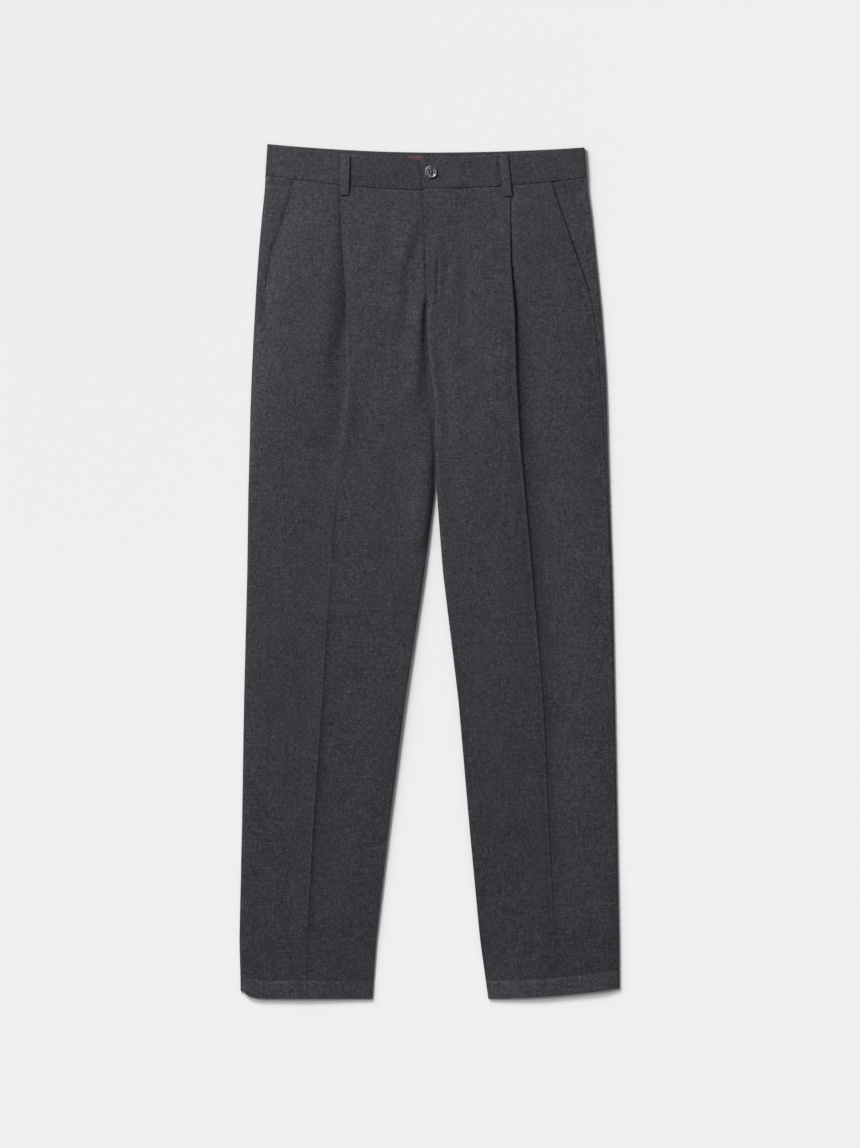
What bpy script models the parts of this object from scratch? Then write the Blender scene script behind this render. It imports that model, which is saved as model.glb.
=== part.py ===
"""Pleated trousers that lie flat on a surface, front up.

The wearer's right leg lies at -X and the left leg at +X. +Y runs from the hems to the waist, and +Z up
from the surface. The origin is on the surface, under the middle of the bounding box.

Each piece of cloth is a closed wall, lofted through centre lines. A centre line crosses the piece at one
height down the garment. The place on it is given by u, the distance outwards from x = 0, so the same
functions make both halves of the garment. All sizes are in millimetres until a mesh is made.
"""

import math

import bmesh
import bpy
import numpy as np

MM = 0.001

# Cloth lies in layers. Layer 0 is the back on the surface, and each next one is a PITCH higher.
CLOTH = 1.0
GAP = 0.3
PITCH = CLOTH + GAP
CLOTH_BEND = PITCH / 2  # radius of the centre line where cloth turns back on itself
BEND_STEPS = 4

# The waistband is doubled cloth. Its back lies on the belt loops, and a label lies inside it.
BAND = 2.0
LABEL = 0.4
BACK_LOOP = 1.0
FRONT_LOOP = 1.2
BAND_BACK_Z = BACK_LOOP + GAP + BAND / 2
BAND_FRONT_Z = BAND_BACK_Z + BAND + GAP + LABEL + GAP
BAND_OVER_Z = BAND_FRONT_Z + BAND + GAP
BAND_LEAN = 2.8  # how far each side of the band comes in from the seam to its top edge
BAND_ROUND = 0.8  # height of the rounded top edge

# The left end of the band lies over the right one, whose hidden end is cut back.
UNDERLAP_END = -28.0
UNDERLAP_INSET = 2.5
UNDERLAP_INSET_FROM = 6.0
OVERLAP_END = -7.2
OVERLAP_END_LEAN = -4.5
OVERLAP_FLAT_TO = 32.0
OVERLAP_RAMP = 34.0

LOOP_WIDTH = 11.0
LOOP_BELOW_SEAM = 11.0
BACK_LOOP_BELOW_SEAM = 8.0
BACK_LOOP_U = 100.0

FACING_UNDER_FRONT = 18.0
FACING_BOTTOM = 352.0
SHIELD_U = (-28.0, 30.0)  # along the right half: 28 under the left front, 30 under the right front
SHIELD_BOTTOM = 345.0

TACK = 14.0  # the second line of each panel follows the waist seam this far below it
FORK_Y = 150.0
FORK_X = 5.6  # the fork lies a little to the left of the middle

BUTTON_RADIUS = 8.0
BUTTON_X = 1.8
BUTTON_Y = 498.8
BUTTON_HOLE = 0.95
BUTTON_HOLE_OFFSET = 1.7
BUTTON_SIDES = 32

LABEL_X = (-30.6, -5.6)
LABEL_Y = (504.0, 519.8)


def table(columns, *rows):
    """A short table: {column name: values down the rows}."""
    return dict(zip(columns.split(), np.array(rows, float).T))


# How the front's pleat opens from the waist to the hem. turn is the angle in degrees that the cloth
# turns through at each of the fold's two bends, under how far a full fold tucks under, ridge the height
# of the fold's upper layer, drop how far the layer outside it lies below that, and lift how far the
# belt loops and the band raise all layers.
PLEAT = table(
    "y       turn  under  ridge  drop  lift",
    (478.0, 180.0, 25.0, 5.7, 2.6, 1.3),
    (464.0, 180.0, 23.0, 5.7, 2.6, 1.3),
    (440.0, 180.0, 19.0, 4.9, 2.6, 0.5),
    (400.0, 180.0, 13.0, 4.4, 2.6, 0.0),
    (350.0, 180.0, 6.0, 4.4, 2.6, 0.0),
    (325.0, 180.0, 2.0, 4.4, 2.6, 0.0),
    (300.0, 150.0, 0.0, 4.4, 2.6, 0.0),
    (250.0, 110.0, 0.0, 4.4, 2.6, 0.0),
    (200.0, 80.0, 0.0, 4.4, 2.6, 0.0),
    (150.0, 62.0, 0.0, 4.4, 2.5, 0.0),
    (100.0, 52.0, 0.0, 4.3, 2.4, 0.0),
    (0.0, 42.0, 0.0, 4.1, 2.0, 0.0),
    (-160.0, 36.0, 0.0, 3.9, 1.6, 0.0),
    (-320.0, 35.0, 0.0, 3.7, 1.4, 0.0),
    (-460.0, 32.0, 0.0, 3.6, 1.2, 0.0),
    (-534.0, 28.0, 0.0, 3.6, 1.0, 0.0),
)

# The outline of each half at the same heights. outer is the side edge, strip the width of the back that
# shows inside it, mouth the way from the side seam to the pocket mouth, crease the place of the pleat
# and crease, inner the fly edge, centre seam or inner leg edge, and inner_z the height of the front there.
RIGHT_HALF = table(
    "outer   strip  mouth  crease  inner  inner_z",
    (205.5, 5.6, 31.0, 113.1, -3.0, 4.4),
    (205.8, 6.5, 27.0, 112.8, -3.0, 4.4),
    (210.1, 8.0, 19.7, 112.0, -3.0, 3.6),
    (213.7, 9.2, 7.4, 110.6, -3.0, 3.1),
    (217.2, 10.5, 0.5, 106.8, -3.0, 3.1),
    (218.5, 12.5, 0.0, 106.0, 6.9, 3.1),
    (220.0, 14.0, 0.0, 105.2, 6.9, 3.1),
    (222.4, 11.0, 0.0, 103.8, 4.4, 2.7),
    (224.3, 7.0, 0.0, 106.8, -3.6, 2.3),
    (225.4, 4.0, 0.0, 115.2, -5.4, 1.8),
    (226.8, 3.0, 0.0, 119.4, -6.6, 1.8),
    (228.2, 2.4, 0.0, 124.4, 6.4, 1.8),
    (232.2, 2.2, 0.0, 134.5, 30.6, 1.8),
    (234.8, 2.2, 0.0, 145.8, 51.1, 1.8),
    (238.0, 2.2, 0.0, 153.7, 66.8, 1.8),
    (236.4, 2.2, 0.0, 154.4, 71.8, 1.8),
)
LEFT_HALF = table(
    "outer   strip  mouth  crease  inner  inner_z",
    (197.0, 6.2, 38.6, 102.2, -6.5, 7.1),
    (197.4, 6.8, 34.5, 102.2, -6.5, 5.9),
    (203.1, 8.6, 26.5, 102.2, -6.5, 4.9),
    (207.3, 10.2, 15.4, 102.4, -6.4, 4.4),
    (212.6, 10.5, 3.0, 105.4, -6.2, 4.4),
    (215.1, 10.0, 0.0, 107.0, -6.6, 4.4),
    (216.8, 9.0, 0.0, 107.4, -6.6, 3.1),
    (220.4, 8.2, 0.0, 108.1, -4.1, 2.7),
    (222.2, 6.3, 0.0, 109.8, 3.9, 2.3),
    (223.3, 4.6, 0.0, 112.2, 5.7, 1.8),
    (225.2, 3.4, 0.0, 115.6, 8.7, 1.8),
    (228.8, 2.6, 0.0, 125.0, 16.4, 1.8),
    (232.2, 2.4, 0.0, 139.4, 35.8, 1.8),
    (235.1, 2.4, 0.0, 147.4, 49.7, 1.8),
    (237.6, 2.4, 0.0, 155.4, 62.9, 1.8),
    (238.0, 2.4, 0.0, 157.0, 73.3, 1.8),
)

# Each edge of the waistband is a curve that starts at centre, at the middle of the garment, and rises
# with a power of the way out to side.
RIGHT_BAND = {
    "back_top": {"centre": 523.4, "side": 534.0, "power": 1.8},
    "back_seam": {"centre": 485.0, "side": 494.8, "power": 1.9},
    "front_top": {"centre": 517.0, "side": 534.0, "power": 2.0},
    "front_seam": {"centre": 476.4, "side": 494.8, "power": 1.8},
}
LEFT_BAND = {
    "back_top": {"centre": 523.4, "side": 529.8, "power": 2.0},
    "back_seam": {"centre": 485.0, "side": 492.3, "power": 2.1},
    "front_top": {"centre": 517.5, "side": 529.8, "power": 1.6},
    "front_seam": {"centre": 478.6, "side": 492.3, "power": 2.1},
}

# A hem rises by rise towards the side, evenly where the power is low and late where it is high.
HALVES = {
    "right": {
        "sign": -1,
        "rows": RIGHT_HALF,
        "band": RIGHT_BAND,
        "band_end": UNDERLAP_END,
        "hem": {"rise": 14.0, "power": 25.0},
        "level_from_fly": 12.0,
        "loop": {"u_top": 105.0, "u_bottom": 106.6},
    },
    "left": {
        "sign": 1,
        "rows": LEFT_HALF,
        "band": LEFT_BAND,
        "band_end": OVERLAP_END,
        "hem": {"rise": 13.0, "power": 1.9},
        "level_from_fly": 8.0,
        "loop": {"u_top": 92.0, "u_bottom": 97.7},
    },
}

# Shares of the way across the front's flat stretches, where its centre line has points.
INNER_SHARES = (0.0, 0.08, 0.18, 0.32, 0.5, 0.75, 1.0)
OUTER_SHARES = (0.15, 0.3, 0.45, 0.6, 0.75, 0.9, 1.0)
BACK_SHARES = (0.03, 0.08, 0.2, 0.45, 0.7, 1.0)
RISE_FROM_FLY = 55.0
OUTER_RAMP = (0.45, 0.3)  # where the way to the side starts to change height, and over what share


def smooth(share):
    """0 to 1, with level ends."""
    t = np.clip(share, 0.0, 1.0)
    return t * t * (3.0 - 2.0 * t)


def layer(number, lift=0.0):
    """The height of a layer's centre line."""
    return lift + CLOTH / 2 + number * PITCH


def band_edge(half, name, u):
    """The height up the garment of one edge of the waistband."""
    curve = half["band"][name]
    share = np.clip(np.abs(u) / (half["rows"]["outer"][0] - BAND_LEAN), 0.0, 1.0)
    return curve["centre"] + (curve["side"] - curve["centre"]) * share ** curve["power"]


def row_height(half, row, u, seam):
    """How far up the garment the points of one row lie. The first two rows follow the waist seam."""
    rows = half["rows"]
    if row == 0:
        return band_edge(half, seam, u) - GAP
    if row == 1:
        return band_edge(half, seam, u) - TACK
    y = PLEAT["y"][row]
    if row == len(PLEAT["y"]) - 1:
        inner = rows["inner"][row]
        share = np.clip((u - inner) / (rows["outer"][row] - inner), 0.0, 1.0)
        return y + half["hem"]["rise"] * share ** half["hem"]["power"]
    return np.full_like(u, y)


def bend(start, heading, angle, radius):
    """The points after start on an arc. heading and angle are in radians, anticlockwise in u and z."""
    way = math.copysign(radius, angle)
    points = []
    for step in range(1, BEND_STEPS + 1):
        turned = heading + angle * step / BEND_STEPS
        du = way * (math.sin(turned) - math.sin(heading))
        dz = -way * (math.cos(turned) - math.cos(heading))
        points.append((start[0] + du, start[1] + dz))
    return points


def pleat(start, row):
    """The two bends of the pleat, from the end of its upper layer to the start of its lower one."""
    turn = math.radians(PLEAT["turn"][row])
    under = PLEAT["under"][row]
    if turn < math.pi:
        in_bends = 2 * CLOTH_BEND * (1 - math.cos(turn))
        under = (PLEAT["drop"][row] - in_bends) / math.sin(turn)
    points = bend(start, 0.0, -turn, CLOTH_BEND)
    last = points[-1]
    points.append((last[0] + under * math.cos(turn), last[1] - under * math.sin(turn)))
    points += bend(points[-1], -turn, turn, CLOTH_BEND)
    return points


def front_line(half, row):
    """The centre line of a front panel, from the fly or the inner leg to the pocket or the side seam."""
    rows = half["rows"]
    lift = PLEAT["lift"][row]
    ridge = PLEAT["ridge"][row]
    inner = rows["inner"][row]
    fold = rows["crease"][row] - CLOTH_BEND - CLOTH / 2
    points = []
    for share in INNER_SHARES:
        u = inner + share * (fold - inner)
        rise = smooth((u - inner - half["level_from_fly"]) / RISE_FROM_FLY)
        z = rows["inner_z"][row] + rise * (ridge - rows["inner_z"][row])
        points.append((u, z))
    points += pleat(points[-1], row)

    mouth = rows["mouth"][row]
    outer = rows["outer"][row] - rows["strip"][row] - GAP - mouth
    outer_z = layer(2 if mouth else 1, lift)
    start, low = points[-1]
    for share in OUTER_SHARES:
        z = low + (outer_z - low) * smooth((share - OUTER_RAMP[0]) / OUTER_RAMP[1])
        points.append((start + share * (outer - start), z))
    return with_heights(half, row, points, "front_seam")


def back_line(half, row):
    """The centre line of a back panel, from the side seam on the front round the edge and underneath."""
    rows = half["rows"]
    lift = PLEAT["lift"][row]
    outer = rows["outer"][row]
    y = PLEAT["y"][row]
    inner = rows["inner"][row]
    if y >= FORK_Y:
        share = (PLEAT["y"][0] - y) / (PLEAT["y"][0] - FORK_Y)
        inner = half["sign"] * FORK_X * share + GAP / 2
    points = [(outer - rows["strip"][row], layer(1, lift))]
    points.append((outer - CLOTH_BEND - CLOTH / 2, layer(1, lift)))
    points += bend(points[-1], 0.0, -math.pi, CLOTH_BEND)
    start = points[-1][0]
    points += [(start + share * (inner - start), layer(0, lift)) for share in BACK_SHARES]
    return with_heights(half, row, points, "back_seam")


def with_heights(half, row, points, seam):
    """Turns (u, z) points into (u, y, z) ones."""
    u, z = np.array(points).T
    return np.column_stack((u, row_height(half, row, u, seam), z))


def facing_line(half, row):
    """The pocket facing, from under the front panel to the side seam."""
    rows = half["rows"]
    seam = rows["outer"][row] - rows["strip"][row] - GAP
    inner = seam - rows["mouth"][row] - FACING_UNDER_FRONT
    z = layer(1, PLEAT["lift"][row])
    points = [(inner, z), ((inner + seam) / 2, z), (seam, z)]
    line = with_heights(half, row, points, "front_seam")
    line[:, 1] = np.maximum(line[:, 1], FACING_BOTTOM)
    return line


def shield_line(row):
    """The fly shield, on the right half, under both fronts."""
    z = layer(1, PLEAT["lift"][row])
    line = with_heights(HALVES["right"], row, [(u, z) for u in SHIELD_U], "front_seam")
    line[:, 1] = np.clip(line[:, 1], SHIELD_BOTTOM, PLEAT["y"][0] - GAP - UNDERLAP_INSET)
    return line


def band_line(half, share):
    """The centre line of half the waistband, share of the way from its seam to its top edge."""
    half_width = half["rows"]["outer"][0] - BAND_LEAN * share
    radius = (BAND_FRONT_Z - BAND_BACK_Z) / 2
    turn_u = half_width - radius - BAND / 2
    over = half["band_end"] == OVERLAP_END
    end = half["band_end"] + (OVERLAP_END_LEAN * share if over else 0.0)
    places = end + (turn_u - end) * np.linspace(0.0, 1.0, 15)
    front = []
    for u in places:
        raised = 1.0 - smooth((u - OVERLAP_FLAT_TO) / OVERLAP_RAMP) if over else 0.0
        inset = 0.0 if over else UNDERLAP_INSET * smooth(1.0 - u / UNDERLAP_INSET_FROM)
        low = band_edge(half, "front_seam", u) + inset
        high = band_edge(half, "front_top", u) - inset
        z = BAND_FRONT_Z + raised * (BAND_OVER_Z - BAND_FRONT_Z)
        front.append((u, low + share * (high - low), z))
    side = []
    for u, z in bend((turn_u, BAND_FRONT_Z), 0.0, -math.pi, radius):
        low = band_edge(half, "front_seam", half_width)
        high = band_edge(half, "front_top", half_width)
        side.append((u, low + share * (high - low), z))
    back = []
    for u in turn_u + (GAP / 2 - turn_u) * np.linspace(0.1, 1.0, 9):
        low = band_edge(half, "back_seam", u)
        high = band_edge(half, "back_top", u)
        back.append((u, low + share * (high - low), BAND_BACK_Z))
    return np.array(front + side + back)


def offsets(line):
    """For each point, the way out of the cloth in u and z that keeps its walls one thickness apart."""
    flat = line[:, [0, 2]]
    along = np.diff(flat, axis=0)
    across = np.column_stack((-along[:, 1], along[:, 0]))
    across /= np.linalg.norm(across, axis=1)[:, None]
    before = np.vstack((across[:1], across))
    after = np.vstack((across, across[-1:]))
    middle = before + after
    middle /= np.linalg.norm(middle, axis=1)[:, None]
    return middle / np.sum(middle * after, axis=1)[:, None]


def cloth_wall(name, sign, lines, thicknesses, finish):
    """A closed wall through centre lines that all have as many points."""
    count = len(lines[0])
    points = []
    for line, thickness in zip(lines, thicknesses):
        out = offsets(line) * thickness / 2
        shift = np.column_stack((out[:, 0], np.zeros(count), out[:, 1]))
        points += list(line + shift)
        points += list((line - shift)[::-1])
    ring = 2 * count
    faces = []
    for start in range(0, (len(lines) - 1) * ring, ring):
        for i in range(ring):
            j = (i + 1) % ring
            faces.append((start + i, start + j, start + ring + j, start + ring + i))
    for start in (0, (len(lines) - 1) * ring):
        for i in range(count - 1):
            faces.append((start + i, start + i + 1, start + ring - 2 - i, start + ring - 1 - i))
    points = np.array(points) * (sign, 1.0, 1.0)
    return add_piece(name, points, faces, finish)


def add_piece(name, points, faces, finish):
    """An object of closed faces, turned to point outwards. Points are in millimetres."""
    mesh = bpy.data.meshes.new(name)
    mesh.from_pydata([tuple(point) for point in np.asarray(points) * MM], [], faces)
    editable = bmesh.new()
    editable.from_mesh(mesh)
    bmesh.ops.recalc_face_normals(editable, faces=editable.faces)
    editable.to_mesh(mesh)
    editable.free()
    mesh.materials.append(finish)
    piece = bpy.data.objects.new(name, mesh)
    bpy.context.scene.collection.objects.link(piece)
    return piece


def make_finish(name, colour, roughness):
    finish = bpy.data.materials.new(name)
    finish.use_nodes = True
    shader = finish.node_tree.nodes["Principled BSDF"]
    shader.inputs["Base Color"].default_value = (*colour, 1.0)
    shader.inputs["Roughness"].default_value = roughness
    shader.inputs["Metallic"].default_value = 0.0
    return finish


def make_panels(side, half, flannel):
    rows = range(len(PLEAT["y"]))
    for name, line in (("front", front_line), ("back", back_line)):
        lines = [line(half, row) for row in rows]
        cloth_wall(f"{name}_{side}", half["sign"], lines, [CLOTH] * len(lines), flannel)
    pocket_rows = [row for row in rows if half["rows"]["mouth"][row]]
    lines = [facing_line(half, row) for row in pocket_rows]
    cloth_wall(f"pocket_facing_{side}", half["sign"], lines, [CLOTH] * len(lines), flannel)


def make_fly_shield(flannel):
    rows = [row for row, y in enumerate(PLEAT["y"]) if y > SHIELD_BOTTOM]
    lines = [shield_line(row) for row in rows]
    cloth_wall("fly_shield", HALVES["right"]["sign"], lines, [CLOTH] * len(lines), flannel)


def make_waistband(side, half, flannel):
    height = half["band"]["front_top"]["side"] - half["band"]["front_seam"]["side"]
    lines = [band_line(half, share) for share in (0.0, 1.0 - BAND_ROUND / height, 1.0)]
    cloth_wall(f"waistband_{side}", half["sign"], lines, (BAND, BAND, BAND / 2), flannel)


def make_loop(name, sign, ends, z, thickness, flannel):
    """A belt loop between ends, its top and bottom (u, y)."""
    lines = []
    for u, y in ends:
        edges = (u - LOOP_WIDTH / 2, u + LOOP_WIDTH / 2)
        lines.append(np.array([(edge, y, z) for edge in edges]))
    cloth_wall(name, sign, lines, [thickness] * len(lines), flannel)


def make_loops(flannel):
    front_z = BAND_FRONT_Z + BAND / 2 + GAP + FRONT_LOOP / 2
    for side, half in HALVES.items():
        loop = half["loop"]
        top = band_edge(half, "front_top", loop["u_top"]) - GAP
        bottom = band_edge(half, "front_seam", loop["u_bottom"]) - LOOP_BELOW_SEAM
        ends = ((loop["u_top"], top), (loop["u_bottom"], bottom))
        make_loop(f"belt_loop_front_{side}", half["sign"], ends, front_z, FRONT_LOOP, flannel)
    places = (("right", BACK_LOOP_U), ("left", BACK_LOOP_U), ("centre", 0.0))
    for name, u in places:
        half = HALVES["left" if name == "left" else "right"]
        top = band_edge(half, "back_top", u) - GAP
        bottom = band_edge(half, "back_seam", u) - BACK_LOOP_BELOW_SEAM
        ends = ((u, top), (u, bottom))
        make_loop(f"belt_loop_back_{name}", half["sign"], ends, BACK_LOOP / 2, BACK_LOOP, flannel)


def make_label(red):
    z = BAND_BACK_Z + BAND / 2 + GAP + LABEL / 2
    lines = [np.array([(x, y, z) for x in LABEL_X]) for y in LABEL_Y]
    cloth_wall("label", 1, lines, [LABEL] * len(lines), red)


def turned(profile, sides, centre):
    """The points and faces of a turned solid, from the radii and heights of its profile."""
    points = []
    for radius, z in profile:
        for i in range(sides):
            angle = 2 * math.pi * i / sides
            points.append((centre[0] + radius * math.cos(angle), centre[1] + radius * math.sin(angle), z))
    faces = []
    for start in range(0, (len(profile) - 1) * sides, sides):
        for i in range(sides):
            j = (i + 1) % sides
            faces.append((start + i, start + j, start + sides + j, start + sides + i))
    faces.append(tuple(range(sides)))
    faces.append(tuple(range(len(points) - sides, len(points))))
    return points, faces


def make_button(horn):
    base = BAND_OVER_Z + BAND / 2 + GAP
    profile = (
        (BUTTON_RADIUS - 1.2, base),
        (BUTTON_RADIUS, base + 1.0),
        (BUTTON_RADIUS, base + 1.8),
        (BUTTON_RADIUS - 0.7, base + 2.5),
        (BUTTON_RADIUS - 1.6, base + 2.5),
        (BUTTON_RADIUS - 2.4, base + 1.8),
    )
    points, faces = turned(profile, BUTTON_SIDES, (BUTTON_X, BUTTON_Y))
    button = add_piece("waist_button", points, faces, horn)
    for i in range(4):
        angle = math.pi / 4 + math.pi / 2 * i
        x = BUTTON_X + math.sqrt(2) * BUTTON_HOLE_OFFSET * math.cos(angle)
        y = BUTTON_Y + math.sqrt(2) * BUTTON_HOLE_OFFSET * math.sin(angle)
        through = ((BUTTON_HOLE, base - 1.0), (BUTTON_HOLE, base + 4.0))
        points, faces = turned(through, 12, (x, y))
        cutter = add_piece(f"button_hole_cutter_{i}", points, faces, horn)
        cutter.hide_render = True
        cutter.display_type = "WIRE"
        cut = button.modifiers.new("hole", "BOOLEAN")
        cut.operation = "DIFFERENCE"
        cut.solver = "EXACT"
        cut.object = cutter
    button.data.shade_smooth()
    button.data.set_sharp_from_angle(angle=math.radians(35))


def main():
    for old in list(bpy.data.objects):
        bpy.data.objects.remove(old)
    flannel = make_finish("charcoal flannel", (0.046, 0.045, 0.051), 0.9)
    horn = make_finish("grey horn", (0.16, 0.16, 0.17), 0.35)
    red = make_finish("dark red label", (0.16, 0.018, 0.022), 0.7)
    for side, half in HALVES.items():
        make_panels(side, half, flannel)
        make_waistband(side, half, flannel)
    make_fly_shield(flannel)
    make_loops(flannel)
    make_label(red)
    make_button(horn)


main()
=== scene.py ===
"""How the pleated flannel trousers look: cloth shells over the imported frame, with their seams, stitches,
button and label, on a pale floor in soft studio light.

The wearer's right leg lies at -X and the left leg at +X, +Y runs up to the waist, and +Z up from the
floor. Outlines are cut from the CAD nodes. On either half of the garment a place is given by u, the
distance outwards from x = 0. Lengths are in millimetres until a mesh is made.
"""

import math
from types import SimpleNamespace

import bmesh
import bpy
import numpy as np
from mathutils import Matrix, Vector
from mathutils.bvhtree import BVHTree


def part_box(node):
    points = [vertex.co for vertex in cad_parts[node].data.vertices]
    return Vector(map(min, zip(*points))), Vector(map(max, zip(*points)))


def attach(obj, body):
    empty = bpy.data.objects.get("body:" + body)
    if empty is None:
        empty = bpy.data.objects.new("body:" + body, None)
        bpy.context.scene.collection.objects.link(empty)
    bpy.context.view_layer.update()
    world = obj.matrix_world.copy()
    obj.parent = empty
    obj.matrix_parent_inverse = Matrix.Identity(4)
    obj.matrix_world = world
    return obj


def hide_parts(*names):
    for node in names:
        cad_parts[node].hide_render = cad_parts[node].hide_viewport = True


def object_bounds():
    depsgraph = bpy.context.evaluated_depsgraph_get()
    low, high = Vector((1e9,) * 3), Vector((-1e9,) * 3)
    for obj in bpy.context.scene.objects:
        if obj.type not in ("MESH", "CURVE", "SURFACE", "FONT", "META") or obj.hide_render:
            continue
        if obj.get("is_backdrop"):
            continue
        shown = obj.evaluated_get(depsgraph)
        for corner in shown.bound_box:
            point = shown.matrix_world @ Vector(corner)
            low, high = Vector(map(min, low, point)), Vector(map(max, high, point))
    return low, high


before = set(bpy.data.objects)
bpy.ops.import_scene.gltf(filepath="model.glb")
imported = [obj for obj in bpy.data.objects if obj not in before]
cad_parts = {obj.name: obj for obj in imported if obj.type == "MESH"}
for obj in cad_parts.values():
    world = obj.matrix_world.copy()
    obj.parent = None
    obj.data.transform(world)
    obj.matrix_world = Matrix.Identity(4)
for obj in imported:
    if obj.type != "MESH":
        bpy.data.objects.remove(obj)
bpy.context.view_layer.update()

MM = 0.001
CLOTH = 0.9  # thickness of the shells, a little under the 1 mm of the solids
BAND = 2.0  # thickness of the solids' doubled waistband
SEAM_GAP = 0.06  # between two pieces of cloth that are sewn together
HEM_Y = -534.0
PANEL = 1012.0  # height of the panels, from the hem to the waist seam

ENDS = {}  # node name: the two ends of each edge of its mesh


# ---------------------------------------------------------------- reading the frame


def box(node):
    """The low and the high corner of a CAD node."""
    return [np.array(corner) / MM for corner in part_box(node)]


def edge_ends(node):
    if node not in ENDS:
        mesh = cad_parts[node].data
        points = np.empty(3 * len(mesh.vertices))
        mesh.vertices.foreach_get("co", points)
        pairs = np.empty(2 * len(mesh.edges), dtype=int)
        mesh.edges.foreach_get("vertices", pairs)
        ENDS[node] = points.reshape(-1, 3)[pairs.reshape(-1, 2)] / MM
    return ENDS[node]


def cut(node, axis, place):
    """The points where the plane at one place along an axis cuts a CAD node."""
    ends = edge_ends(node)
    before = ends[:, 0, axis] - place
    after = ends[:, 1, axis] - place
    crossing = before * after < 0
    start = ends[crossing, 0]
    share = before[crossing] / (before[crossing] - after[crossing])
    return start + share[:, None] * (ends[crossing, 1] - start)


def soften(values, reach):
    """Averages evenly spaced values over reach steps each way, and keeps the slopes at both ends."""
    before = 2 * values[0] - values[reach:0:-1]
    after = 2 * values[-1] - values[-2 : -reach - 2 : -1]
    kernel = np.hanning(2 * reach + 3)[1:-1]
    return np.convolve(np.concatenate((before, values, after)), kernel / kernel.sum(), "valid")


def course(node, axis, low, high, measure, step=3.0, reach=5):
    """One line of a CAD node as a smooth function of the place along an axis."""
    places, values = [], []
    for place in np.linspace(low, high, int((high - low) / step) + 1):
        points = cut(node, axis, place)
        value = measure(points) if len(points) else None
        if value is not None:
            places.append(place)
            values.append(value)
    values = soften(np.array(values), reach)
    return lambda place: np.interp(place, places, values)


BAND_FOOT = 480.0  # height of the waistband's seam at the fly
BAND_SIDE = 495.0  # and at the side of the waist
BAND_HEIGHT = 38.0  # from that seam to the top
BAND_READ = 36.0  # how far up from that seam the outline of the band is read
BAND_FRONT_ABOVE = 4.0  # the front layer of the waistband lies above this height
BAND_BACK_BELOW = 3.4  # and the back layer below this one


def band_line(points, front, pick):
    """The top or the seam of one layer of the waistband, in a cut across it."""
    height = points[:, 2]
    layer = points[height > BAND_FRONT_ABOVE if front else height < BAND_BACK_BELOW]
    return pick(layer[:, 1]) if len(layer) else None


def front_end(points, sign):
    """How far in the waistband's front layer reaches, in a cut across it."""
    layer = points[points[:, 2] > BAND_FRONT_ABOVE]
    return (sign * layer[:, 0]).min() if len(layer) else None


# How far the fly and the seam below it lie to the +X side of the solid's, at heights along them.
SEAM_SWAY = (
    (110, 0), (154, 0.3), (173, 0.6), (190, 1.4), (204, 2.5), (214, 3.3), (226, 4),
    (238, 4.1), (250, 3.8), (262, 4.1), (274, 3.3), (288, 2.5), (302, 2.4), (318, 2.6),
    (334, 2.5), (350, 2.4), (368, 1.9), (384, 1.7), (400, 1.2), (430, 0.3), (446, 0),
)


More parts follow.
